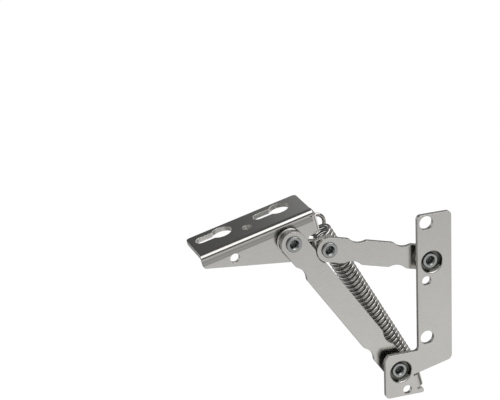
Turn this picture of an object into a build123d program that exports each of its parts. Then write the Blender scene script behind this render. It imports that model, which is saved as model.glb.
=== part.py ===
"""Flap stay for a lift-up cabinet flap, in millimetres.

A base plate is screwed to the cabinet's side and a bracket to the flap. Two links join them, and a spring pulls
the bracket over dead centre, so that the flap stays where it is opened to. X points right, Y away from the
viewer and Z up. The origin is midway between the two screws of the base plate, on its mounting face, which
looks along -Y. The stay is drawn with the flap held open.
"""
from build123d import *
from math import atan2, cos, degrees, dist, pi, radians, sin, sqrt
import os

# Sheet metal and the gaps between the sheets that turn on each other
BASE_SHEET = 2.5
BRACKET_SHEET = 2.5
LINK_SHEET = 2.5
LAYER_GAP = 0.2

# Pivots seen from the front: A and B on the base plate, C and D on the flap bracket
A_X = 3.0
A_Z = 10.0
B_X = -15.0
B_Z = -49.0
C_X = -70.0
C_Z = 30.5
D_X = -51.0
D_Z = 24.0

# Base plate: a strip for the screws and a foot round the lower pivot
SCREW_PITCH = 64.0
SCREW_HOLE = 7.5
CENTRE_HOLE = 5.0
FOOT_HOLE = 4.8
FOOT_HOLE_X = -11.5
FOOT_HOLE_Z = -59.8
STRIP_LEFT = -5.0
STRIP_RIGHT = 14.0
STRIP_TOP = 36.5
STRIP_ROUND = 2.3
HEEL_ROUND = 3.0
FOOT_LEFT = -23.8
FOOT_TOP = -38.8
FOOT_BOTTOM = -63.1
FOOT_ROUND = 2.5
FOOT_BEVEL_WIDTH = 1.8
FOOT_BEVEL_HEIGHT = 2.7
INNER_ROUND = 2.0
TOE_RIGHT = -2.2
TOE_HEIGHT = 2.6
TOE_ROUND = 1.0

# Dished pivot cups, pressed back in the base plate and forward in the bracket
BASE_CUP_DEPTH = 3.0
BASE_CUP_CLEARANCE = 1.4
BRACKET_STEP = 3.0
BRACKET_CUP_CLEARANCE = 0.3
CUP_TAPER = 0.3
CUP_WALL = 0.8
CUP_ROUND = 0.8
CUP_FLOOR_ROUND = 0.2

# Lugs for the spring, bent back from the sheet, with a round tip about their hole
SPRING_AXIS_Y = 20.0
LUG_HOLE = 4.5
LUG_TIP = 8.5
LUG_RELIEF = 0.8
LOWER_LUG_X = -7.9
LOWER_LUG_Z = -51.95
LOWER_LUG_ANGLE = 14.0
LOWER_LUG_WIDTH = 7.4
LOWER_LUG_HOLE_DROP = 7.0
LOWER_LUG_BEND = 2.5

# Flap bracket: the flange's left end, seen from the front, and its slope
FLANGE_X = -117.55
FLANGE_Z = 30.05
FLANGE_ANGLE = 13.9
FLANGE_LENGTH = 61.8
FLANGE_BACK_Y = 35.9
FLANGE_ROUND = 2.2
BRACKET_BEND = 0.4
WEB_END_DROP = 7.3
WEB_ROUND = 1.5
WEB_HOLE = 5.0
WEB_HOLE_X = -99.4
WEB_HOLE_Z = 25.9
WEB_HEEL_X = -60.1
EAR_RADIUS = 6.4
EAR_SLOPE = 45.0
SLIT_WIDTH = 2.4
SLIT_DROP = 14.3
SLIT_START = 57.3
UPPER_LUG_START = 59.8
UPPER_LUG_BEND = 1.5
UPPER_LUG_HOLE_DROP = 7.4

# Screw openings of the flange: two keyholes and a round hole between them
KEYHOLE_PITCH = 32.0
KEYHOLE_START = 17.3
KEYHOLE_Y = 28.2
KEYHOLE_HEAD = 11.0
KEYHOLE_SLOT = 6.5
KEYHOLE_TRAVEL = 10.8
FLANGE_HOLE = 5.0
FLANGE_HOLE_START = 29.4
FLANGE_HOLE_Y = 21.7

# Links: straight bars with a shallow waist near each pivot
LINK_WIDTH = 13.2
STOP_GAP = 0.35
WAIST_RADIUS = 8.0
WAIST_BLEND = 3.0
LONG_WAIST_FROM_B = 17.6
SHORT_WAIST_FROM_A = 15.7
SHORT_WAIST_FROM_D = 14.8

# Rivets: a flat head behind, a plain shank, and in front a hollow tail rolled out to a ring
RIVET_SHANK = 5.0
RIVET_PLAY = 0.1
RIVET_SPLIT = 0.1
HEAD_DIAMETER = 9.5
HEAD_HEIGHT = 1.6
HEAD_ROUND = 0.5
TAIL_DIAMETER = 8.2
TAIL_HEIGHT = 1.2
TAIL_ROUND = 0.5
TAIL_MOUTH = 5.2
TAIL_BORE = 3.6
TAIL_FLARE = 1.0
TAIL_DEPTH = 3.4
MOUTH_ROUND = 0.3

# Extension spring. Each end turns from the coil's side into a loop, and ends short of the coil again
WIRE = 2.0
COIL_DIAMETER = 9.2
COIL_TURNS = 35.88
COIL_START_TURN = 0.56
LOWER_LOOP_DROP = 3.6
UPPER_LOOP_RISE = 5.0
LOOP_PLAY = 0.45
LOOP_SWEEP = 212.0

# Layers from the mounting face to the back
cup_back = BASE_CUP_DEPTH + BASE_SHEET
link_front = cup_back + LAYER_GAP
link_back = link_front + LINK_SHEET
ear_front = link_back + LAYER_GAP
ear_back = ear_front + BRACKET_SHEET
web_front = ear_front + BRACKET_STEP
web_back = web_front + BRACKET_SHEET
rivet_hole = RIVET_SHANK / 2 + RIVET_PLAY
back_way = Vector(0, 1, 0)


def heading(angle):
    """The unit vector at this angle from the right, in a view from the front."""
    return Vector(cos(radians(angle)), sin(radians(angle)))


def in_space(point, y=0.0):
    """The point of space of a front view's point, at this depth."""
    return Vector(point.X, y, point.Y)


def front(y):
    """A plane seen from the front at this depth: its own axes are X and Z, and it looks at the viewer."""
    return Plane(origin=(0, y, 0), x_dir=(1, 0, 0), z_dir=(0, -1, 0))


pivot_a = Vector(A_X, A_Z)
pivot_b = Vector(B_X, B_Z)
pivot_c = Vector(C_X, C_Z)
pivot_d = Vector(D_X, D_Z)


def half_section(centre, y=0.0, forward=False):
    """A plane through a pivot's axis: its own axes are the radius and the depth, counted back or forward."""
    return Plane(origin=in_space(centre, y), x_dir=(1, 0, 0), z_dir=(0, 0, -1 if forward else 1))


def turned(plane, points, rounds, mode=Mode.ADD):
    """Turn a closed half section about its pivot's axis."""
    with BuildSketch(plane) as section:
        with BuildLine():
            FilletPolyline(*points, radius=rounds, close=True)
        make_face()
    revolve(section.sketch, axis=Axis(plane.origin, (0, 1, 0)), mode=mode)


def cup(plane, floor, depth, sheet):
    """Press a flat-bottomed cup into a sheet: first the bump on its far side, then the recess."""
    mouth = floor + CUP_TAPER
    root = mouth + CUP_WALL
    middle = sheet / 2
    turned(
        plane,
        [(0, middle), (root + CUP_ROUND, middle), (root + CUP_ROUND, sheet), (root, sheet),
         (floor + CUP_WALL, depth + sheet), (0, depth + sheet)],
        [0, 0, 0, CUP_ROUND, CUP_ROUND, 0],
    )
    turned(
        plane,
        [(0, -CUP_ROUND), (mouth + CUP_ROUND, -CUP_ROUND), (mouth + CUP_ROUND, 0), (mouth, 0),
         (floor, depth), (0, depth)],
        [0, 0, 0, CUP_ROUND, CUP_FLOOR_ROUND, 0],
        Mode.SUBTRACT,
    )


def bend(plane, sheet, inside, width):
    """A quarter bend from the edge of a sheet, in a plane whose own axes are out of the edge and back."""
    outside = inside + sheet
    with BuildSketch(plane) as section:
        with BuildLine():
            CenterArc((0, outside), outside, -90, 90)
            Line((outside, outside), (inside, outside))
            CenterArc((0, outside), inside, -90, 90)
            Line((0, sheet), (0, 0))
        make_face()
    extrude(section.sketch, amount=-width)


def lug(root, sheet, inside, start, width, hole_along):
    """A lug bent back from a sheet's edge. The root plane's axes are out of the edge, along it and back."""
    side = Plane(origin=root.origin + root.y_dir * start, x_dir=root.x_dir, z_dir=-root.y_dir)
    face = Plane(origin=root.origin + root.x_dir * inside, x_dir=root.y_dir, z_dir=root.x_dir)
    tip = (hole_along, SPRING_AXIS_Y - root.origin.Y)
    bend(side, sheet, inside, width)
    with BuildSketch(face) as outline:
        with BuildLine():
            Line((start, inside + sheet), (start + width, inside + sheet))
            CenterArc(tip, LUG_TIP / 2, 0, 360)
        make_hull()
        with Locations(tip):
            Circle(LUG_HOLE / 2, mode=Mode.SUBTRACT)
    extrude(outline.sketch, amount=sheet)


def root_plane(corner, angle, y):
    """The plane at the start of a lug's bend line, for a lug that looks along this angle."""
    return Plane(origin=in_space(corner, y), x_dir=in_space(heading(angle)), z_dir=(0, 1, 0))


# Base plate: its slanted lower edge runs square to the lug's bend line
lower_out = heading(LOWER_LUG_ANGLE)
lower_down = heading(LOWER_LUG_ANGLE - 90)
lower_corner = Vector(LOWER_LUG_X, LOWER_LUG_Z)
heel = lower_corner + lower_out * ((STRIP_RIGHT - LOWER_LUG_X) / lower_out.X)
lug_end = lower_corner + lower_down * (LUG_RELIEF + LOWER_LUG_WIDTH + LUG_RELIEF)
base_cup_floor = TAIL_DIAMETER / 2 + BASE_CUP_CLEARANCE

with BuildPart() as base_plate:
    with BuildSketch(front(BASE_SHEET)):
        with BuildLine():
            FilletPolyline(
                (STRIP_LEFT, STRIP_TOP),
                (STRIP_RIGHT, STRIP_TOP),
                (heel.X, heel.Y),
                (lower_corner.X, lower_corner.Y),
                (lug_end.X, lug_end.Y),
                (TOE_RIGHT, FOOT_BOTTOM + TOE_HEIGHT),
                (TOE_RIGHT, FOOT_BOTTOM),
                (FOOT_LEFT, FOOT_BOTTOM),
                (FOOT_LEFT, FOOT_TOP - FOOT_BEVEL_HEIGHT),
                (FOOT_LEFT + FOOT_BEVEL_WIDTH, FOOT_TOP),
                (STRIP_LEFT, FOOT_TOP),
                radius=[
                    STRIP_ROUND, STRIP_ROUND, HEEL_ROUND, 0, 0, TOE_ROUND, TOE_ROUND, FOOT_ROUND, 0, 0, INNER_ROUND,
                ],
                close=True,
            )
        make_face()
    extrude(amount=BASE_SHEET)
    cup(half_section(pivot_a), base_cup_floor, BASE_CUP_DEPTH, BASE_SHEET)
    cup(half_section(pivot_b), base_cup_floor, BASE_CUP_DEPTH, BASE_SHEET)
    lug(
        root_plane(lower_corner, LOWER_LUG_ANGLE, 0),
        BASE_SHEET, LOWER_LUG_BEND, LUG_RELIEF, LOWER_LUG_WIDTH, LOWER_LUG_HOLE_DROP,
    )
    with BuildSketch(front(cup_back)):
        with Locations((0, SCREW_PITCH / 2), (0, -SCREW_PITCH / 2)):
            Circle(SCREW_HOLE / 2)
        Circle(CENTRE_HOLE / 2)
        with Locations((FOOT_HOLE_X, FOOT_HOLE_Z)):
            Circle(FOOT_HOLE / 2)
        with Locations((A_X, A_Z), (B_X, B_Z)):
            Circle(rivet_hole)
    extrude(amount=cup_back, mode=Mode.SUBTRACT)
base_plate.part.label = "base_plate"

# Flap bracket: places along the flange and below its top face
flange_way = heading(FLANGE_ANGLE)
flange_down = heading(FLANGE_ANGLE - 90)
flange_start = Vector(FLANGE_X, FLANGE_Z)
bracket_bend_outside = BRACKET_BEND + BRACKET_SHEET
flange_front = web_front + bracket_bend_outside


def on_bracket(along, drop):
    """The front view's point at this distance along the flange and below its top face."""
    return flange_start + flange_way * along + flange_down * drop


flange_plane = Plane(origin=in_space(flange_start), x_dir=in_space(flange_way), z_dir=-in_space(flange_down))
bend_plane = Plane(
    origin=in_space(on_bracket(0, bracket_bend_outside), web_front),
    x_dir=-in_space(flange_down), z_dir=-in_space(flange_way),
)
web_left = on_bracket(0, WEB_END_DROP)
web_heel = Vector(WEB_HEEL_X, D_Z - EAR_RADIUS)
slit_centre = on_bracket(SLIT_START, SLIT_DROP)
slit_drop_top = SLIT_DROP - SLIT_WIDTH / 2
upper_lug_width = slit_drop_top - bracket_bend_outside - LUG_RELIEF
web_corner = on_bracket(UPPER_LUG_START, bracket_bend_outside)
web_slit_corner = on_bracket(UPPER_LUG_START, SLIT_DROP)
web_slit_heel = slit_centre + flange_way * ((WEB_HEEL_X - slit_centre.X) / flange_way.X)
web_top_left = on_bracket(0, bracket_bend_outside)
ear_top = pivot_d - flange_down * EAR_RADIUS
ear_top_left = ear_top - flange_way * ((ear_top.X - WEB_HEEL_X) / flange_way.X)
joggle_length = BRACKET_STEP / sin(radians(EAR_SLOPE)) * cos(radians(EAR_SLOPE))
joggle_lag = BRACKET_SHEET * (1 - cos(radians(EAR_SLOPE))) / sin(radians(EAR_SLOPE))
ear_end = D_X + EAR_RADIUS

with BuildPart() as joggled_ear:
    with BuildSketch(Plane.XY.offset(web_heel.Y)):
        with BuildLine():
            Polyline(
                (WEB_HEEL_X, web_front),
                (WEB_HEEL_X + joggle_length, ear_front),
                (ear_end, ear_front),
                (ear_end, ear_back),
                (WEB_HEEL_X + joggle_lag + joggle_length, ear_back),
                (WEB_HEEL_X + joggle_lag, web_back),
                (WEB_HEEL_X, web_back),
                close=True,
            )
        make_face()
    extrude(amount=2 * EAR_RADIUS)
    with BuildSketch(front(web_back)):
        with BuildLine():
            Line((web_heel.X, web_heel.Y), (D_X, web_heel.Y))
            CenterArc((D_X, D_Z), EAR_RADIUS, -90, 180 + FLANGE_ANGLE)
            Line((ear_top.X, ear_top.Y), (ear_top_left.X, ear_top_left.Y))
            Line((ear_top_left.X, ear_top_left.Y), (web_heel.X, web_heel.Y))
        make_face()
    extrude(amount=web_back, mode=Mode.INTERSECT)

with BuildPart() as flap_bracket:
    with BuildSketch(front(web_back)):
        with BuildLine():
            FilletPolyline(
                (web_top_left.X, web_top_left.Y),
                (web_left.X, web_left.Y),
                (web_heel.X, web_heel.Y),
                (web_slit_heel.X, web_slit_heel.Y),
                (web_slit_corner.X, web_slit_corner.Y),
                (web_corner.X, web_corner.Y),
                radius=[0, WEB_ROUND, 0, 0, 0, 0],
                close=True,
            )
        make_face()
    extrude(amount=BRACKET_SHEET)
    add(joggled_ear.part)
    with BuildSketch(flange_plane) as flange:
        with Locations((0, flange_front)):
            Rectangle(FLANGE_LENGTH, FLANGE_BACK_Y - flange_front, align=(Align.MIN, Align.MIN))
        back_corners = flange.vertices().group_by(Axis.Y)[-1]
        fillet(back_corners, FLANGE_ROUND)
    extrude(amount=-BRACKET_SHEET)
    bend(bend_plane, BRACKET_SHEET, BRACKET_BEND, FLANGE_LENGTH)
    lug(
        root_plane(web_corner, FLANGE_ANGLE, web_front),
        BRACKET_SHEET, UPPER_LUG_BEND, LUG_RELIEF, upper_lug_width, UPPER_LUG_HOLE_DROP - bracket_bend_outside,
    )
    cup(
        half_section(pivot_c, web_back, forward=True),
        HEAD_DIAMETER / 2 + BRACKET_CUP_CLEARANCE, BRACKET_STEP, BRACKET_SHEET,
    )
    with BuildSketch(flange_plane):
        for keyhole in range(2):
            start = KEYHOLE_START + keyhole * KEYHOLE_PITCH
            with Locations((start, KEYHOLE_Y)):
                Circle(KEYHOLE_HEAD / 2)
            with Locations((start - KEYHOLE_TRAVEL / 2, KEYHOLE_Y)):
                SlotCenterToCenter(KEYHOLE_TRAVEL, KEYHOLE_SLOT)
        with Locations((FLANGE_HOLE_START, FLANGE_HOLE_Y)):
            Circle(FLANGE_HOLE / 2)
    extrude(amount=-BRACKET_SHEET, mode=Mode.SUBTRACT)
    with BuildSketch(front(web_back)):
        with Locations((C_X, C_Z), (D_X, D_Z)):
            Circle(rivet_hole)
        with Locations((WEB_HOLE_X, WEB_HOLE_Z)):
            Circle(WEB_HOLE / 2)
        with Locations(Location((slit_centre.X, slit_centre.Y), FLANGE_ANGLE)):
            Circle(SLIT_WIDTH / 2)
            Rectangle(UPPER_LUG_START - SLIT_START, SLIT_WIDTH, align=(Align.MIN, Align.CENTER))
    extrude(amount=web_back, mode=Mode.SUBTRACT)
flap_bracket.part.label = "flap_bracket"

# Links. The short link's end lies in the long link's first waist, which stops the flap at its open place
long_way = (pivot_b - pivot_c).normalized()
short_way = (pivot_a - pivot_d).normalized()
long_aside = Vector(-long_way.Y, long_way.X)
short_aside = Vector(-short_way.Y, short_way.X)
stop_along = (pivot_d - pivot_c).dot(long_way)
waist_floor = abs((pivot_d - pivot_c).dot(long_aside)) - LINK_WIDTH / 2 - STOP_GAP
waist_offset = waist_floor + WAIST_RADIUS


def link(start, end, way, aside, waists):
    """Draw a bar between two pivots, with a pair of waists at each of these distances from its start."""
    length = (end - start).length
    middle = (start + end) / 2
    with BuildSketch(front(link_back)) as outline:
        with Locations(Location((middle.X, middle.Y), degrees(atan2(way.Y, way.X)))):
            SlotCenterToCenter(length, LINK_WIDTH)
        centres = [start + way * along + aside * side for along in waists for side in (-waist_offset, waist_offset)]
        with Locations(*[(centre.X, centre.Y) for centre in centres]):
            Circle(WAIST_RADIUS, mode=Mode.SUBTRACT)
        fillet(outline.vertices(Select.LAST), WAIST_BLEND)
        with Locations((start.X, start.Y), (end.X, end.Y)):
            Circle(rivet_hole, mode=Mode.SUBTRACT)
    extrude(outline.sketch, amount=LINK_SHEET)


with BuildPart() as long_link:
    link(pivot_c, pivot_b, long_way, long_aside, [stop_along, (pivot_b - pivot_c).length - LONG_WAIST_FROM_B])
long_link.part.label = "long_link"

with BuildPart() as short_link:
    short_length = (pivot_a - pivot_d).length
    link(pivot_d, pivot_a, short_way, short_aside, [SHORT_WAIST_FROM_D, short_length - SHORT_WAIST_FROM_A])
short_link.part.label = "short_link"

# Rivets, as half sections: the radius and the depth
tail_points = [
    (0, TAIL_DEPTH - TAIL_HEIGHT),
    (TAIL_BORE / 2, TAIL_DEPTH - TAIL_HEIGHT),
    (TAIL_BORE / 2, TAIL_FLARE - TAIL_HEIGHT),
    (TAIL_MOUTH / 2, -TAIL_HEIGHT),
    (TAIL_DIAMETER / 2, -TAIL_HEIGHT),
    (TAIL_DIAMETER / 2, 0),
    (RIVET_SHANK / 2, 0),
]
tail_rounds = [0, MOUTH_ROUND, MOUTH_ROUND, MOUTH_ROUND, TAIL_ROUND, TAIL_ROUND, 0]
head_points = [
    (RIVET_SHANK / 2, 0),
    (HEAD_DIAMETER / 2, 0),
    (HEAD_DIAMETER / 2, HEAD_HEIGHT),
    (0, HEAD_HEIGHT),
]
head_rounds = [0, 0, HEAD_ROUND, 0]


def shifted(points, y):
    """Move half-section points back to this depth."""
    return [(radius, depth + y) for radius, depth in points]


def rivet(centre, tail_y, head_y):
    """A whole rivet: its tail rolled over at one depth, its head seated at another."""
    turned(
        half_section(centre),
        shifted(tail_points, tail_y) + shifted(head_points, head_y),
        tail_rounds + head_rounds,
    )


link_tail = link_front - RIVET_PLAY
base_head = link_back + RIVET_PLAY
split_front = (cup_back + link_front - RIVET_SPLIT) / 2
split_back = split_front + RIVET_SPLIT

with BuildPart() as rivet_a:
    rivet(pivot_a, BASE_CUP_DEPTH, base_head)
rivet_a.part.label = "rivet_a"

with BuildPart() as rivet_c:
    rivet(pivot_c, link_tail, ear_back)
rivet_c.part.label = "rivet_c"

with BuildPart() as rivet_d:
    rivet(pivot_d, link_tail, ear_back)
rivet_d.part.label = "rivet_d"

# The rivet at B is drawn as two halves that meet between the sheets, so that the linkage can be opened there
with BuildPart() as rivet_b_tail:
    turned(
        half_section(pivot_b),
        shifted(tail_points, BASE_CUP_DEPTH) + [(RIVET_SHANK / 2, split_front), (0, split_front)],
        tail_rounds + [0, 0],
    )
rivet_b_tail.part.label = "rivet_b_tail"

with BuildPart() as rivet_b_head:
    turned(
        half_section(pivot_b),
        [(0, split_back), (RIVET_SHANK / 2, split_back)] + shifted(head_points, base_head),
        [0, 0] + head_rounds,
    )
rivet_b_head.part.label = "rivet_b_head"

# Spring: its own axes run up the coil, to the side and back. Each loop passes through the hole of its lug
loop_radius = COIL_DIAMETER / 2
lower_lug_middle = lower_corner + lower_out * (LOWER_LUG_BEND + BASE_SHEET / 2)
lower_centre = lower_lug_middle + lower_down * (LOWER_LUG_HOLE_DROP - LOOP_PLAY - loop_radius)
upper_wire = on_bracket(UPPER_LUG_START + UPPER_LUG_BEND + BRACKET_SHEET / 2, UPPER_LUG_HOLE_DROP + LOOP_PLAY)
up_way = (upper_wire - lower_centre).normalized()
loop_spacing = (upper_wire - lower_centre).length - loop_radius
up = in_space(up_way)
side = back_way.cross(up)
spring_start = in_space(lower_centre, SPRING_AXIS_Y)
coil_pitch = (loop_spacing - UPPER_LOOP_RISE - LOWER_LOOP_DROP) / COIL_TURNS
half_turns = round(2 * COIL_TURNS)
climb = coil_pitch / (2 * pi)


def spring_point(along, across, depth):
    """A point from the spring's own axes."""
    return spring_start + up * along + side * across + back_way * depth


def coil_point(turn):
    """The wire's centre after so many turns."""
    angle = 2 * pi * (COIL_START_TURN + turn)
    return spring_point(LOWER_LOOP_DROP + coil_pitch * turn, loop_radius * cos(angle), loop_radius * sin(angle))


def coil_tangent(turn):
    """The wire's direction after so many turns."""
    angle = 2 * pi * (COIL_START_TURN + turn)
    direction = up * climb - side * (loop_radius * sin(angle)) + back_way * (loop_radius * cos(angle))
    return direction.normalized()


def biarc(start, start_way, end, end_way):
    """Two arcs that leave a point and reach another in given directions, meeting smoothly between them."""
    reach = end - start
    ways = start_way + end_way
    spread = 1 - start_way.dot(end_way)
    along = reach.dot(ways)
    length = (sqrt(along * along + 2 * spread * reach.dot(reach)) - along) / (2 * spread)
    joint = (start + end + (start_way - end_way) * length) / 2
    TangentArc(start, joint, tangent=start_way)
    TangentArc(end, joint, tangent=-end_way)


def hook(end, end_way, centre, outward):
    """The loop at a coil's end: the wire bends out of the coil, goes round and ends short of the coil's far side."""
    near = side if (end - centre).dot(side) > 0 else -side

    def on_loop(angle):
        return centre + near * (loop_radius * cos(angle)) + outward * (loop_radius * sin(angle))

    def loop_way(angle):
        return outward * cos(angle) - near * sin(angle)

    last = radians(LOOP_SWEEP)
    biarc(end, end_way, on_loop(0), loop_way(0))
    TangentArc(on_loop(0), on_loop(last / 2), tangent=loop_way(0))
    TangentArc(on_loop(last / 2), on_loop(last), tangent=loop_way(last / 2))


def tube(path):
    """Sweep the round wire along its path."""
    with BuildSketch(Plane(origin=path @ 0, z_dir=path % 0)) as section:
        Circle(WIRE / 2)
    sweep(section.sketch, path=path)


def least_gap(path, apart=3 * WIRE, steps=8):
    """The least gap between two stretches of the wire that lie this far apart along it."""
    points = []
    places = []
    run = 0.0
    for edge in path.edges():
        for step in range(steps):
            points.append(edge @ (step / steps))
            places.append(run + edge.length * step / steps)
        run += edge.length
    coords = [(point.X, point.Y, point.Z) for point in points]
    least = COIL_DIAMETER
    for first, one in enumerate(coords):
        for second in range(first + 1, len(coords)):
            if places[second] - places[first] > apart:
                least = min(least, dist(one, coords[second]))
    return least - WIRE


with BuildLine() as spring_line:
    hook(coil_point(0), -coil_tangent(0), spring_point(0, 0, 0), -up)
    for half in range(half_turns):
        turn = COIL_TURNS * half / half_turns
        after = COIL_TURNS * (half + 1) / half_turns
        biarc(coil_point(turn), coil_tangent(turn), coil_point(after), coil_tangent(after))
spring_path = Wire(spring_line.edges())

with BuildLine() as upper_loop_line:
    hook(coil_point(COIL_TURNS), coil_tangent(COIL_TURNS), spring_point(loop_spacing, 0, 0), up)
upper_loop_path = Wire(upper_loop_line.edges())

with BuildPart() as spring:
    tube(spring_path)
spring.part.label = "spring"

with BuildPart() as spring_upper_loop:
    tube(upper_loop_path)
spring_upper_loop.part.label = "spring_upper_loop"

print("spring's least gap to itself", round(least_gap(spring_path), 3), "mm")
print("upper loop's least gap to itself", round(least_gap(upper_loop_path), 3), "mm")
for wound, path in ((spring, spring_path), (spring_upper_loop, upper_loop_path)):
    print(wound.part.label, "volume over section times length",
          round(wound.part.volume / (pi * WIRE**2 / 4 * path.length), 4))

pieces = [
    base_plate, flap_bracket, long_link, short_link, rivet_a, rivet_b_head, rivet_b_tail, rivet_c, rivet_d,
    spring, spring_upper_loop,
]
os.makedirs("parts", exist_ok=True)
for piece in pieces:
    export_step(piece.part, f"parts/{piece.part.label}.step")
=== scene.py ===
"""A lift-up flap stay in Blender: plated sheet steel, hollow rivets and a bright extension spring.

Metres, in the CAD model's frame: X points right, Y away from the viewer into the cabinet, and Z up.
The origin is midway between the two screws of the base plate, on its mounting face.
"""

import bmesh
import bpy
import numpy as np
from mathutils import Matrix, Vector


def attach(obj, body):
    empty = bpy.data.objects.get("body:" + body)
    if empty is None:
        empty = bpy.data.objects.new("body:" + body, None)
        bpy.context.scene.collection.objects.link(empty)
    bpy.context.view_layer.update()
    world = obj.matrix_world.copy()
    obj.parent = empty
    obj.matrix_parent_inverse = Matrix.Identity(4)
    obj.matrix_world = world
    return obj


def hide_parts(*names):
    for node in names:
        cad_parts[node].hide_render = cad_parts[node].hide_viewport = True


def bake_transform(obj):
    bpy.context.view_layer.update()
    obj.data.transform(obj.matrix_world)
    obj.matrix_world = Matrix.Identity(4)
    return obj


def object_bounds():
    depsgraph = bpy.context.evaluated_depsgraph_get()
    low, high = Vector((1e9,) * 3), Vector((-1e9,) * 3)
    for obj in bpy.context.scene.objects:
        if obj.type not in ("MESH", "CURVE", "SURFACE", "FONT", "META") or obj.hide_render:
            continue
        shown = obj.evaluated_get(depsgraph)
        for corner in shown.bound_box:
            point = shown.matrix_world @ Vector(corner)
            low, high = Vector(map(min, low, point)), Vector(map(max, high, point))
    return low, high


# Lengths below are in millimetres and angles in degrees. MM turns a length into metres
MM = 0.001

# Camera, fitted to the photograph. Its view starts at the nearest distance, and its focal length is in
# pixels of a picture 500 wide
CAMERA_AZIMUTH = -18.849
CAMERA_ELEVATION = 21.209
CAMERA_ROLL = -2.363
CAMERA_TARGET = (-94.220, 0.0, 60.403)
CAMERA_DISTANCE = 1051.705
CAMERA_NEAREST = 10.0
FOCAL_PIXELS = 2142.171
PICTURE_WIDTH = 500
SENSOR_WIDTH = 36.0

# Spring. The centres of its end loops are given as X and Z, and its coil's start as part of a turn
WIRE_RADIUS = 1.0
COIL_RADIUS = 4.6
COIL_TURNS = 35.88
COIL_START_TURN = 0.56
LOWER_LOOP_DROP = 3.6
UPPER_LOOP_RISE = 5.0
LOWER_LOOP_SWEEP = 212.0
UPPER_LOOP_SWEEP = 228.0
SPRING_Y = 20.0
LOWER_LOOP = (-4.04, -53.23)
UPPER_LOOP = (-52.60, 33.80)

# How finely the wire is drawn: points along a turn, a loop and a bend, and round the wire
TURN_POINTS = 40
LOOP_POINTS = 70
BEND_POINTS = 26
WIRE_SIDES = 20

# The round of the wire's cut ends, as a share of its radius, and a bend's pull, as a share of its span
WIRE_RIM = 0.3
BEND_PULL = 1.2

# Sheet metal edges: the round that tumbling leaves and its steps, the angle past which an edge is sharp,
# and the width below which a band between sharp edges is a sheared edge
EDGE_ROUND = 0.18
EDGE_STEPS = 3
EDGE_ANGLE = 40.0
SHEARED_WIDTH = 2.9

# Facets of the CAD mesh are joined at points this near, and across edges this flat
WELD_GAP = 0.001
FLAT_ANGLE = 0.2

# Places of the steels in a sheet part's list
FACE, SHEARED, SHADED_CUP, LIT_CRESCENT = range(4)

# Plated steel: the part of the noises' range that is used, the tones of the lay and its relief, and the
# size of the soft clouds and what they add to the roughness
NOISE_SPAN = (0.3, 0.7)
LAY_TONES = (0.93, 1.0)
LAY_BUMP = 0.04
LAY_DEPTH = 0.02
CLOUD_SIZE = 14.0
CLOUD_ROUGHNESS = (-0.02, 0.03)

# How the noise is scaled along each axis: rolled sheet's lines run eight times as long along X, and other
# grains are even
ROLLED = (0.12, 1.0, 1.0)
EVEN = (1.0, 1.0, 1.0)

# Pivots A, B, C and D, as X and Z. The hollow in each rivet's tail: its radius, a depth that lies behind
# the floors of all four, and how bright the metal in it is painted: painted shade, where the hollow is in
# shadow
PIVOTS = ((3.0, 10.0), (-15.0, -49.0), (-70.0, 30.5), (-51.0, 24.0))
HOLLOW_RADIUS = 2.2
HOLLOW_BACK = 8.5
HOLLOW_PAINTED_SHADE = 0.60

# The base plate's pivot cups, at A and B: their mouth's radius and the depths of their inside
CUP_PIVOTS = PIVOTS[:2]
CUP_MOUTH = 5.9
CUP_DEPTHS = (0.15, 3.05)

# The painted light crescent on a cup's wall, where light falls on it: its depth, and its angles from X to Z
LIT_CRESCENT_DEPTH = 2.6
LIT_CRESCENT_ANGLES = (-98.0, -34.0)

# The band below the flap bracket's bend, a painted reflection: it is darker where the die-pressed sheet
# curves. Its drops below the flange's top face, and how bright the web is there. A point's own drop is its
# dot product with the way down, less that of the top face. What lies this near the depth of the web's front
# belongs to it
FLANGE_DOWN = (0.2402, 0.0, -0.9707)
FLANGE_TOP_DROP = -57.41
WEB_FRONT = 11.4
WEB_NEAR = 0.2
BAND_DROPS = (2.7, 3.3, 3.8, 4.3, 4.8, 5.3, 5.8, 6.1, 6.4)
BAND_LEVELS = (1.0, 0.66, 0.55, 0.58, 0.72, 0.58, 0.56, 0.85, 1.0)

# Floor: its drop below the object, its size and colour, how much of it glows, and how the camera sees it
FLOOR_DROP = 160.0
FLOOR_SIZE = 6000.0
FLOOR_COLOUR = "#F4F4F2"
FLOOR_GLOW = 0.92
FLOOR_SEEN = 1.05

# The floor as the metal mirrors it. From the front to the back it is white, then dark round the object,
# and then dark to pale from left to right: levels, and the Y or X between which one turns into the next
FLOOR_FAR_FRONT = 0.85
FLOOR_TO_MID = (-680.0, -400.0)
FLOOR_MID_FRONT = 1.20
FLOOR_TO_NEAR = (-240.0, -180.0)
FLOOR_NEAR = 0.20
FLOOR_TO_BACK = (50.0, 250.0)
FLOOR_BACK_LEFT = 0.32
FLOOR_LEFT_TO_RIGHT = (-90.0, 10.0)
FLOOR_BACK_RIGHT = 1.50

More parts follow.
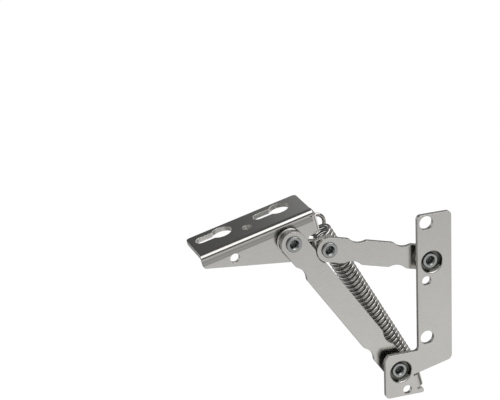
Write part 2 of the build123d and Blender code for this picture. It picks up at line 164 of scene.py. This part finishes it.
# The studio as the metal mirrors it: levels at these turns from the front, positive to the right, and at
# these heights. A pale card stands low in front and a brighter one low at the left and behind, a softbox
# hangs in front and to the right, and the walls and the ceiling are dark. Columns and rows are its mesh's
DOME_RADIUS = 900.0
DOME_COLUMNS = 181
DOME_ROWS = 95
DOME_TURNS = (-180, -176, -130, -90, -60, -20, 20, 60, 90, 130, 160, 172, 176, 180)
DOME_HEIGHTS = (-4, 5, 9, 20, 24, 30, 33, 41, 75, 79, 90)
DOME_LEVELS = (
    (0.12, 0.12, 1.60, 0.60, 0.45, 0.90, 0.90, 0.45, 0.12, 0.12, 0.12, 0.12, 0.12, 0.12),
    (0.12, 0.12, 1.60, 0.60, 0.45, 0.90, 0.90, 0.45, 0.12, 0.12, 0.12, 0.12, 0.12, 0.12),
    (0.12, 0.12, 1.60, 0.60, 0.45, 0.20, 0.12, 0.12, 0.12, 0.12, 0.12, 0.12, 0.12, 0.12),
    (0.12, 0.12, 1.60, 0.60, 0.45, 0.20, 0.12, 0.12, 0.12, 0.12, 0.12, 0.12, 0.12, 0.12),
    (0.12, 0.12, 0.60, 0.50, 0.45, 0.20, 0.12, 0.12, 0.12, 0.50, 0.30, 0.24, 0.14, 0.12),
    (0.14, 0.14, 0.12, 0.50, 0.45, 0.20, 0.12, 0.12, 0.12, 0.50, 0.40, 0.44, 0.20, 0.14),
    (0.14, 0.14, 0.12, 0.50, 0.45, 0.20, 0.12, 0.12, 0.12, 0.50, 0.40, 0.44, 0.20, 0.14),
    (0.14, 0.14, 0.12, 0.50, 0.50, 2.00, 2.80, 2.80, 2.80, 0.50, 0.40, 0.44, 0.20, 0.14),
    (0.14, 0.14, 0.12, 0.50, 0.50, 2.00, 2.80, 2.80, 2.80, 0.50, 0.30, 0.40, 0.18, 0.14),
    (0.12, 0.12, 0.12, 0.12, 0.12, 0.12, 0.12, 0.12, 0.12, 0.12, 0.12, 0.12, 0.12, 0.12),
    (0.12, 0.12, 0.12, 0.12, 0.12, 0.12, 0.12, 0.12, 0.12, 0.12, 0.12, 0.12, 0.12, 0.12),
)

# Light: the grey that the room sheds on the object, a softbox by its way from the object's middle, and
# the way that a lamp's top faces
ROOM_GREY = (0.55, 0.55, 0.55, 1)
WHITE = (1, 1, 1, 1)
KEY_WAY = (500.0, -900.0, 1300.0)
KEY_SIZE = 500.0
KEY_WATTS = 6
LAMP_TOP = (0.0, 1.0, 0.001)


def unit(vectors):
    """Each vector divided by its own length."""
    return vectors / np.linalg.norm(vectors, axis=-1, keepdims=True)


def linear(hex_colour):
    """A hex sRGB colour as linear red, green, blue and alpha: each channel undone by the sRGB curve."""
    channels = np.array([int(hex_colour[i:i + 2], 16) for i in (1, 3, 5)]) / 255
    low = channels / 12.92
    high = ((channels + 0.055) / 1.055) ** 2.4
    return (*np.where(channels <= 0.04045, low, high), 1.0)


def node(tree, kind, inputs=None, **settings):
    """Add a node with its settings, and fill or link its inputs by name or number."""
    made = tree.nodes.new(kind)
    for name, value in settings.items():
        setattr(made, name, value)
    for name, value in (inputs or {}).items():
        if isinstance(value, bpy.types.NodeSocket):
            tree.links.new(value, made.inputs[name])
        else:
            made.inputs[name].default_value = value
    return made


def new_material(name):
    """An empty node material, and its tree."""
    material = bpy.data.materials.new(name)
    material.use_nodes = True
    material.node_tree.nodes.clear()
    return material, material.node_tree


def painted_hollow_shade(tree, place):
    """Painted shade: the rivets' metal is 1 bright, and less in their hollows, near a pivot and in front.
    """
    from_front = node(
        tree, "ShaderNodeVectorMath", {0: place, 1: (1, 0, 1)}, operation="MULTIPLY",
    ).outputs[0]
    near = 0.0
    for x, z in PIVOTS:
        away = node(
            tree, "ShaderNodeVectorMath", {0: from_front, 1: (x * MM, 0, z * MM)}, operation="DISTANCE",
        ).outputs["Value"]
        inside = node(
            tree, "ShaderNodeMath", {0: away, 1: HOLLOW_RADIUS * MM}, operation="LESS_THAN",
        ).outputs[0]
        near = node(tree, "ShaderNodeMath", {0: near, 1: inside}, operation="MAXIMUM").outputs[0]
    depth = node(tree, "ShaderNodeSeparateXYZ", {0: place}).outputs["Y"]
    behind = node(
        tree, "ShaderNodeMath", {0: depth, 1: HOLLOW_BACK * MM}, operation="GREATER_THAN",
    ).outputs[0]
    in_hollow = node(tree, "ShaderNodeMath", {0: near, 1: behind}, operation="GREATER_THAN").outputs[0]
    return node(
        tree, "ShaderNodeMapRange", {"Value": in_hollow, "To Min": 1.0, "To Max": HOLLOW_PAINTED_SHADE},
    ).outputs[0]


def painted_bend_reflection(tree, place):
    """Painted reflection: the web is darker in a band below the bend, which ends in a crisp line."""
    drop = node(
        tree, "ShaderNodeVectorMath", {0: place, 1: FLANGE_DOWN}, operation="DOT_PRODUCT",
    ).outputs["Value"]
    share = node(
        tree, "ShaderNodeMapRange",
        {"Value": drop, "From Min": (FLANGE_TOP_DROP + BAND_DROPS[0]) * MM,
         "From Max": (FLANGE_TOP_DROP + BAND_DROPS[-1]) * MM},
    )
    ramp = node(tree, "ShaderNodeValToRGB", {0: share.outputs[0]})
    stops = ramp.color_ramp.elements
    for at in BAND_DROPS[1:-1]:
        stops.new((at - BAND_DROPS[0]) / (BAND_DROPS[-1] - BAND_DROPS[0]))
    for stop, level in zip(stops, BAND_LEVELS):
        stop.color = (level, level, level, 1)
    depth = node(tree, "ShaderNodeSeparateXYZ", {0: place}).outputs["Y"]
    on_web = node(
        tree, "ShaderNodeMath", {0: depth, 1: WEB_FRONT * MM, 2: WEB_NEAR * MM}, operation="COMPARE",
    ).outputs[0]
    return node(
        tree, "ShaderNodeMix", {0: on_web, 2: 1.0, 3: ramp.outputs[0]}, data_type="FLOAT",
    ).outputs[0]


def plated_steel(name, colour, roughness, grain, lay, shade=None):
    """Plated steel: a bright metal whose fine lay is a stretched noise, with soft clouds in its sheen.

    Grain is the spacing of the lay in millimetres, and lay how the noise is scaled along each axis. Shade
    is a function that says how bright the metal is at each place.
    """
    material, tree = new_material(name)
    place = node(tree, "ShaderNodeTexCoord").outputs["Object"]
    stretched = node(tree, "ShaderNodeMapping", {"Vector": place, "Scale": lay}).outputs["Vector"]
    lines = node(
        tree, "ShaderNodeTexNoise", {"Vector": stretched, "Scale": 1 / (grain * MM), "Detail": 3.0},
    )
    clouds = node(
        tree, "ShaderNodeTexNoise", {"Vector": place, "Scale": 1 / (CLOUD_SIZE * MM), "Detail": 2.0},
    )
    sheen = node(
        tree, "ShaderNodeMapRange",
        {"Value": clouds.outputs["Fac"], "From Min": NOISE_SPAN[0], "From Max": NOISE_SPAN[1],
         "To Min": roughness + CLOUD_ROUGHNESS[0], "To Max": roughness + CLOUD_ROUGHNESS[1]},
    )
    tone = node(
        tree, "ShaderNodeMapRange",
        {"Value": lines.outputs["Fac"], "From Min": NOISE_SPAN[0], "From Max": NOISE_SPAN[1],
         "To Min": LAY_TONES[0], "To Max": LAY_TONES[1]},
    ).outputs[0]
    if shade:
        tone = node(
            tree, "ShaderNodeMath", {0: tone, 1: shade(tree, place)}, operation="MULTIPLY",
        ).outputs[0]
    tint = node(
        tree, "ShaderNodeMix", {0: 1.0, 6: linear(colour), 7: tone},
        data_type="RGBA", blend_type="MULTIPLY",
    )
    bump = node(
        tree, "ShaderNodeBump",
        {"Height": lines.outputs["Fac"], "Strength": LAY_BUMP, "Distance": LAY_DEPTH * MM},
    )
    metal = node(
        tree, "ShaderNodeBsdfPrincipled",
        {"Base Color": tint.outputs[2], "Metallic": 1.0, "Roughness": sheen.outputs[0],
         "Normal": bump.outputs["Normal"]},
    )
    node(tree, "ShaderNodeOutputMaterial", {"Surface": metal.outputs[0]})
    return material


def make_mesh(name, points, faces):
    """A smooth mesh object from arrays of points in metres and of faces."""
    mesh = bpy.data.meshes.new(name)
    mesh.from_pydata(points.tolist(), [], faces)
    mesh.shade_smooth()
    piece = bpy.data.objects.new(name, mesh)
    bpy.context.scene.collection.objects.link(piece)
    return piece


def tube(name, path, guide, radius):
    """A round wire along a path, closed at both ends.

    Each ring is the path's point plus the radius times a circle drawn across the tangent, from the
    guide's part that is square to it. Near an end the radius falls as a quarter circle, so that the cut
    end has a rounded rim.
    """
    tangent = unit(np.gradient(path, axis=0))
    across = unit(guide - np.sum(guide * tangent, axis=1, keepdims=True) * tangent)
    other = np.cross(tangent, across)
    run = np.concatenate([[0], np.cumsum(np.linalg.norm(np.diff(path, axis=0), axis=1))])
    to_end = np.minimum(run, run[-1] - run) / (WIRE_RIM * radius)
    rim = 1 - WIRE_RIM + WIRE_RIM * np.sqrt(1 - (1 - np.clip(to_end, 0, 1)) ** 2)
    angle = np.linspace(0, 2 * np.pi, WIRE_SIDES, endpoint=False)
    circle = across[:, None] * np.cos(angle)[:, None] + other[:, None] * np.sin(angle)[:, None]
    points = (path[:, None] + circle * (radius * rim)[:, None, None]).reshape(-1, 3)
    ring = np.arange(len(path) - 1)[:, None] * WIRE_SIDES
    here = np.arange(WIRE_SIDES)
    after = (here + 1) % WIRE_SIDES
    quads = np.stack(
        [ring + here, ring + after, ring + WIRE_SIDES + after, ring + WIRE_SIDES + here], axis=-1,
    )
    last = (len(path) - 1) * WIRE_SIDES
    caps = [here[::-1].tolist(), (last + here).tolist()]
    return make_mesh(name, points, quads.reshape(-1, 4).tolist() + caps)


def hermite(start, start_way, end, end_way):
    """A smooth bend between two points: a cubic that leaves and arrives in the given directions.

    The end takes over from the start by the smooth step, three times the square of the share along less
    two times its cube. Each direction is added by a curve that is 0 at both ends and has a slope of 1 at
    its own, times the pull.
    """
    along = np.linspace(0, 1, BEND_POINTS)[:, None]
    pull = BEND_PULL * np.linalg.norm(np.subtract(end, start))
    return (
        (2 * along**3 - 3 * along**2 + 1) * start
        + (along**3 - 2 * along**2 + along) * pull * start_way
        + (3 * along**2 - 2 * along**3) * end
        + (along**3 - along**2) * pull * end_way
    )


def spring():
    """The extension spring: a coil of even pitch between two open loops that lie in the plane of the links.

    The coil is a helix about the line between the loops' centres. At each end a cubic bend turns the wire
    from the coil's circle to point along the spring, and part of a circle about the loop's centre carries
    it through the lug's hole and back, to end short of the coil's far side.
    """
    lower = np.array([LOWER_LOOP[0], SPRING_Y, LOWER_LOOP[1]])
    upper = np.array([UPPER_LOOP[0], SPRING_Y, UPPER_LOOP[1]])
    up = unit(upper - lower)
    back = np.array([0.0, 1.0, 0.0])
    side = np.cross(back, up)
    rise = np.linalg.norm(upper - lower) - LOWER_LOOP_DROP - UPPER_LOOP_RISE

    turn = np.linspace(0, COIL_TURNS, round(COIL_TURNS * TURN_POINTS) + 1)[:, None]
    angle = 2 * np.pi * (COIL_START_TURN + turn)
    coil = (
        lower + up * (LOWER_LOOP_DROP + rise * turn / COIL_TURNS)
        + COIL_RADIUS * (side * np.cos(angle) + back * np.sin(angle))
    )
    climb = (
        up * (rise / COIL_TURNS / (2 * np.pi))
        + COIL_RADIUS * (back * np.cos(angle) - side * np.sin(angle))
    )

    def hook(centre, outward, sweep, coil_point, coil_way):
        """The bend and the loop at one end, from the coil outwards."""
        near = side * np.sign(np.dot(coil_point - centre, side))
        swept = np.radians(np.linspace(0, sweep, LOOP_POINTS))[:, None]
        loop = centre + COIL_RADIUS * (near * np.cos(swept) + outward * np.sin(swept))
        bend = hermite(coil_point, coil_way, loop[0], outward)
        return np.concatenate([bend[1:], loop[1:]])

    low_hook = hook(lower, -up, LOWER_LOOP_SWEEP, coil[0], -unit(climb[0]))
    high_hook = hook(upper, up, UPPER_LOOP_SWEEP, coil[-1], unit(climb[-1]))

    # The wire's guide turns over each bend from the coil's axis, at 0, to the loop's own, at 1
    lean = np.clip(np.arange(1, len(low_hook) + 1) / (BEND_POINTS - 1), 0, 1)[:, None]
    share = np.concatenate([lean[::-1], np.zeros((len(coil), 1)), lean])
    path = np.concatenate([low_hook[::-1], coil, high_hook]) * MM
    piece = tube("spring_wire", path, up * (1 - share) + back * share, WIRE_RADIUS * MM)
    coil_low = (lower + up * LOWER_LOOP_DROP) * MM
    coil_high = (lower + up * (LOWER_LOOP_DROP + rise)) * MM
    return piece, coil_low, coil_high


def sheared_walls(shape):
    """Mark the sheared edges of a sheet: they are the narrow bands between sharp edges.

    Faces are gathered into patches that no sharp edge divides. A band as wide as the sheet is thick has
    an area of half its rim's length times that width, so a patch whose area over its rim is small is a
    sheared edge.
    """
    left = set(shape.faces)
    while left:
        patch = [left.pop()]
        area = rim = 0.0
        for face in patch:
            area += face.calc_area()
            for edge in face.edges:
                if edge.calc_face_angle(0.0) > np.radians(EDGE_ANGLE):
                    rim += edge.calc_length()
                    continue
                for other in edge.link_faces:
                    if other in left:
                        left.remove(other)
                        patch.append(other)
        narrow = rim > 0 and area / rim < SHEARED_WIDTH / 2 * MM
        for face in patch:
            face.material_index = SHEARED if narrow else FACE


def paint_cup_light_and_shade(shape):
    """Mark the pivot cups' inside for painted shade, and part of their wall for a painted light crescent.

    A face is inside when its middle is nearer the pivot's axis than the cup's mouth, and between the two
    depths. It is in the light crescent when it is above the floor, and the way from the axis to it lies
    between the two angles.
    """
    for face in shape.faces:
        x, y, z = np.array(face.calc_center_median()) / MM
        away, pivot_x, pivot_z = min((np.hypot(x - a, z - b), a, b) for a, b in CUP_PIVOTS)
        angle = np.degrees(np.arctan2(z - pivot_z, x - pivot_x))
        if CUP_DEPTHS[0] < y < CUP_DEPTHS[1] and away < CUP_MOUTH:
            rubbed = y < LIT_CRESCENT_DEPTH and LIT_CRESCENT_ANGLES[0] < angle < LIT_CRESCENT_ANGLES[1]
            face.material_index = LIT_CRESCENT if rubbed else SHADED_CUP


def tumbled_sheet(name, cad_node):
    """A copy of a sheet-metal part, its facets joined and its cut edges rounded as tumbling leaves them."""
    mesh = cad_node.data.copy()
    mesh.name = name
    shape = bmesh.new()
    shape.from_mesh(mesh)
    bmesh.ops.remove_doubles(shape, verts=shape.verts, dist=WELD_GAP * MM)
    bmesh.ops.dissolve_limit(
        shape, angle_limit=np.radians(FLAT_ANGLE), verts=shape.verts, edges=shape.edges,
    )
    sheared_walls(shape)
    paint_cup_light_and_shade(shape)
    rounded_share = shape.edges.layers.float.new("bevel_weight_edge")
    for edge in shape.edges:
        edge[rounded_share] = float(edge.calc_face_angle_signed(0.0) > np.radians(EDGE_ANGLE))
    mesh.materials.clear()
    shape.to_mesh(mesh)
    shape.free()
    mesh.shade_smooth()
    piece = bpy.data.objects.new(name, mesh)
    bpy.context.scene.collection.objects.link(piece)
    rounded = piece.modifiers.new("tumbled_edges", "BEVEL")
    rounded.width = EDGE_ROUND * MM
    rounded.segments = EDGE_STEPS
    rounded.limit_method = "WEIGHT"
    rounded.use_clamp_overlap = False
    rounded.face_strength_mode = "FSTR_ALL"
    even = piece.modifiers.new("flat_faces_stay_flat", "WEIGHTED_NORMAL")
    even.mode = "FACE_AREA"
    even.use_face_influence = True
    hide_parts(cad_node.name)
    return piece


def backdrop_rays(tree):
    """1 for the rays that show the white background: the camera's, and those mirrored or sent through."""
    rays = node(tree, "ShaderNodeLightPath").outputs
    mirrored = node(
        tree, "ShaderNodeMath", {0: rays["Is Glossy Ray"], 1: rays["Is Transmission Ray"]},
        operation="MAXIMUM",
    )
    return node(
        tree, "ShaderNodeMath", {0: rays["Is Camera Ray"], 1: mirrored.outputs[0]}, operation="MAXIMUM",
    ).outputs[0]


def floor(height):
    """A plain pale floor below the object. The camera sees it white, with the object's shadow.

    The metal mirrors it at levels that run into each other along Y: far front, mid front, near the
    object, and the back, whose own level runs from left to right.
    """
    half = FLOOR_SIZE / 2 * MM
    sheet = make_mesh(
        "floor",
        np.array([
            (-half, -half, height), (half, -half, height), (half, half, height), (-half, half, height),
        ]),
        [(0, 1, 2, 3)],
    )
    material, tree = new_material("white studio paper")
    place = node(tree, "ShaderNodeTexCoord").outputs["Object"]
    across, behind, _ = node(tree, "ShaderNodeSeparateXYZ", {0: place}).outputs
    back_level = node(
        tree, "ShaderNodeMapRange",
        {"Value": across, "From Min": FLOOR_LEFT_TO_RIGHT[0] * MM, "From Max": FLOOR_LEFT_TO_RIGHT[1] * MM,
         "To Min": FLOOR_BACK_LEFT, "To Max": FLOOR_BACK_RIGHT},
    ).outputs[0]
    mirrored = FLOOR_FAR_FRONT
    for (start, end), level in (
        (FLOOR_TO_MID, FLOOR_MID_FRONT), (FLOOR_TO_NEAR, FLOOR_NEAR), (FLOOR_TO_BACK, back_level),
    ):
        mirrored = node(
            tree, "ShaderNodeMapRange",
            {"Value": behind, "From Min": start * MM, "From Max": end * MM,
             "To Min": mirrored, "To Max": level},
        ).outputs[0]
    seen = node(tree, "ShaderNodeLightPath").outputs["Is Camera Ray"]
    strength = node(tree, "ShaderNodeMix", {0: seen, 2: mirrored, 3: FLOOR_SEEN}, data_type="FLOAT")
    paper = node(tree, "ShaderNodeBsdfDiffuse", {"Color": linear(FLOOR_COLOUR)})
    glow = node(tree, "ShaderNodeEmission", {"Color": WHITE, "Strength": strength.outputs[0]})
    shown = node(tree, "ShaderNodeMath", {0: backdrop_rays(tree), 1: FLOOR_GLOW}, operation="MULTIPLY")
    mixed = node(
        tree, "ShaderNodeMixShader", {0: shown.outputs[0], 1: paper.outputs[0], 2: glow.outputs[0]},
    )
    node(tree, "ShaderNodeOutputMaterial", {"Surface": mixed.outputs[0]})
    sheet.data.materials.append(material)


def studio_world():
    """A white room behind everything, and a soft even light of plain level from all sides."""
    world = bpy.data.worlds.new("studio")
    bpy.context.scene.world = world
    world.use_nodes = True
    tree = world.node_tree
    tree.nodes.clear()
    shade = node(
        tree, "ShaderNodeMix", {0: backdrop_rays(tree), 6: ROOM_GREY, 7: WHITE}, data_type="RGBA",
    )
    light = node(tree, "ShaderNodeBackground", {"Color": shade.outputs[2], "Strength": 1.0})
    node(tree, "ShaderNodeOutputWorld", {"Surface": light.outputs[0]})


def studio_dome(middle):
    """The studio as the metal mirrors it: a softbox, pale cards in front and at the left, and dark walls.

    A point is the middle plus the dome's radius times (sin turn cos height, -cos turn cos height, sin
    height). Its glow is read from the table of levels, straight between the table's turns and heights.
    Only mirrored rays see it, so it neither lights the floor nor shows behind the object.
    """
    turns = np.linspace(DOME_TURNS[0], DOME_TURNS[-1], DOME_COLUMNS)
    heights = np.linspace(DOME_HEIGHTS[0], DOME_HEIGHTS[-1], DOME_ROWS)
    by_turn = np.array([np.interp(turns, DOME_TURNS, levels) for levels in DOME_LEVELS])
    glows = np.array([np.interp(heights, DOME_HEIGHTS, levels) for levels in by_turn.T]).T
    turn, height = np.meshgrid(np.radians(turns), np.radians(heights))
    way = np.stack([np.sin(turn) * np.cos(height), -np.cos(turn) * np.cos(height), np.sin(height)], axis=-1)
    points = (np.array(middle) + way * DOME_RADIUS * MM).reshape(-1, 3)
    corner = (np.arange(DOME_ROWS - 1)[:, None] * DOME_COLUMNS + np.arange(DOME_COLUMNS - 1)).reshape(-1)
    quads = np.stack([corner, corner + 1, corner + DOME_COLUMNS + 1, corner + DOME_COLUMNS], axis=-1)
    dome = make_mesh("studio_dome", points, quads.tolist())
    stored = dome.data.attributes.new("glow", "FLOAT", "POINT")
    stored.data.foreach_set("value", glows.ravel().astype(np.float32))
    material, tree = new_material("grey studio cards and softbox")
    level = node(tree, "ShaderNodeAttribute", attribute_name="glow").outputs["Fac"]
    glow = node(tree, "ShaderNodeEmission", {"Color": WHITE, "Strength": level})
    node(tree, "ShaderNodeOutputMaterial", {"Surface": glow.outputs[0]})
    dome.data.materials.append(material)
    dome.visible_camera = False
    dome.visible_diffuse = False
    dome.visible_shadow = False
    dome.visible_transmission = False


def placed(right, upward, back, place):
    """The matrix of a lamp or camera, from its three axes and its place: it looks against its back axis."""
    turn = np.eye(4)
    turn[:3, 0], turn[:3, 1], turn[:3, 2], turn[:3, 3] = right, upward, back, place
    return Matrix(turn)


def area_light(name, place, target, size, watts):
    """A square softbox at a place, aimed at a target."""
    light = bpy.data.lights.new(name, "AREA")
    light.size = size
    light.energy = watts
    lamp = bpy.data.objects.new(name, light)
    bpy.context.scene.collection.objects.link(lamp)
    back = unit(np.subtract(place, target))
    right = unit(np.cross(LAMP_TOP, back))
    lamp.matrix_world = placed(right, np.cross(back, right), back, place)


def camera():
    """The photograph's camera: it looks at its target from an azimuth and an elevation, a little rolled."""
    azimuth, elevation, roll = np.radians([CAMERA_AZIMUTH, CAMERA_ELEVATION, CAMERA_ROLL])
    back = np.array([
        np.sin(azimuth) * np.cos(elevation), -np.cos(azimuth) * np.cos(elevation), np.sin(elevation),
    ])
    level = unit(np.cross(-back, (0.0, 0.0, 1.0)))
    above = np.cross(level, -back)
    right = np.cos(roll) * level + np.sin(roll) * above
    upward = -np.sin(roll) * level + np.cos(roll) * above
    data = bpy.data.cameras.new("photo_camera")
    data.sensor_width = SENSOR_WIDTH
    data.lens = SENSOR_WIDTH * FOCAL_PIXELS / PICTURE_WIDTH
    data.clip_start = CAMERA_NEAREST * MM
    view = bpy.data.objects.new("photo_camera", data)
    bpy.context.scene.collection.objects.link(view)
    view.matrix_world = placed(right, upward, back, (np.array(CAMERA_TARGET) + back * CAMERA_DISTANCE) * MM)
    bpy.context.scene.camera = view


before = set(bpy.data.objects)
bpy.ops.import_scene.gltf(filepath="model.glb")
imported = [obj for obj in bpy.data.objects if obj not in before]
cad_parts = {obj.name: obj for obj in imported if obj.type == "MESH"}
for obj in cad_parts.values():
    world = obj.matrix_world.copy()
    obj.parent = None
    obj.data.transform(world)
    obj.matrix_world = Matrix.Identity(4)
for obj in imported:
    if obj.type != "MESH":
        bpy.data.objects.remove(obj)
cad_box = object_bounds()

# Cold rolled sheet with a thin nickel plate: it mirrors the studio softly and a little warm, with faint
# lines along X. The real lines are about 0.05 mm apart, too fine to show, so they are drawn at 0.35 mm.
# The grains of the other steels are drawn coarser than life for the same reason
sheet_steel = plated_steel("nickel plated sheet steel", "#B6B5B1", 0.20, 0.35, ROLLED)

# Edges torn by the press and plated over: a fine even grain that spreads the light, so they look matt
sheared_steel = plated_steel("sheared edge of plated steel", "#BDBCB8", 0.40, 0.25, EVEN)

# The sheet again, smoother, with a painted reflection: a darker band below the bend, where the sheet curves
banded_steel = plated_steel(
    "nickel plated sheet steel, painted bend reflection", "#B6B5B1", 0.15, 0.35, ROLLED, painted_bend_reflection,
)

# The flap bracket's edges, painted paler so that the flange's rim and the openings' walls show lit
pale_painted_edge_steel = plated_steel("plated steel edge, painted paler", "#DAD9D5", 0.42, 0.25, EVEN)

# Painted highlight: a pale, matt steel for the light crescent that falls on the cup's wall, in the dark cup
lit_crescent_steel = plated_steel("plated steel rubbed bare by the rivet", "#D6D5D1", 0.55, 0.25, EVEN)

# Painted shade inside the cups: a deep warm grey steel with a soft gloss, where the recess lies in shadow
cup_shade_steel = plated_steel("plated steel in painted cup shade", "#5E5E59", 0.26, 0.6, EVEN)

# Zinc plated rivet steel: cooler and darker than the sheet, with a soft sheen and painted shade in its
# hollows
rivet_steel = plated_steel("zinc plated rivet steel", "#989A99", 0.24, 0.5, EVEN, painted_hollow_shade)

# Hard drawn wire: smooth from the die, so each turn has narrow bright highlights between dark gaps
wire_steel = plated_steel("drawn spring wire", "#ABAAA7", 0.12, 0.3, EVEN)

plain_steels = (sheet_steel, sheared_steel, cup_shade_steel, lit_crescent_steel)
sheet_parts = {
    "base_plate": ("base", plain_steels),
    "short_link": ("short_link_body", plain_steels),
    "flap_bracket": ("bracket", (banded_steel, pale_painted_edge_steel)),
    "long_link": ("long_link_body", plain_steels),
}
for name, (body, steels) in sheet_parts.items():
    sheet = tumbled_sheet(name + "_sheet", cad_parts[name])
    for steel in steels:
        sheet.data.materials.append(steel)
    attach(sheet, body)

for name, cad_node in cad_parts.items():
    if name.startswith("rivet"):
        cad_node.data.materials.clear()
        cad_node.data.materials.append(rivet_steel)

wire, coil_low, coil_high = spring()
wire.data.materials.append(wire_steel)
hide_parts("spring", "spring_upper_loop")
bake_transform(wire)

floor(cad_box[0][2] - FLOOR_DROP * MM)
studio_world()
middle = (np.array(cad_box[0]) + np.array(cad_box[1])) / 2
studio_dome(middle)
area_light("key", middle + np.array(KEY_WAY) * MM, middle, KEY_SIZE * MM, KEY_WATTS)
camera()

bpy.context.scene.view_settings.view_transform = "Standard"
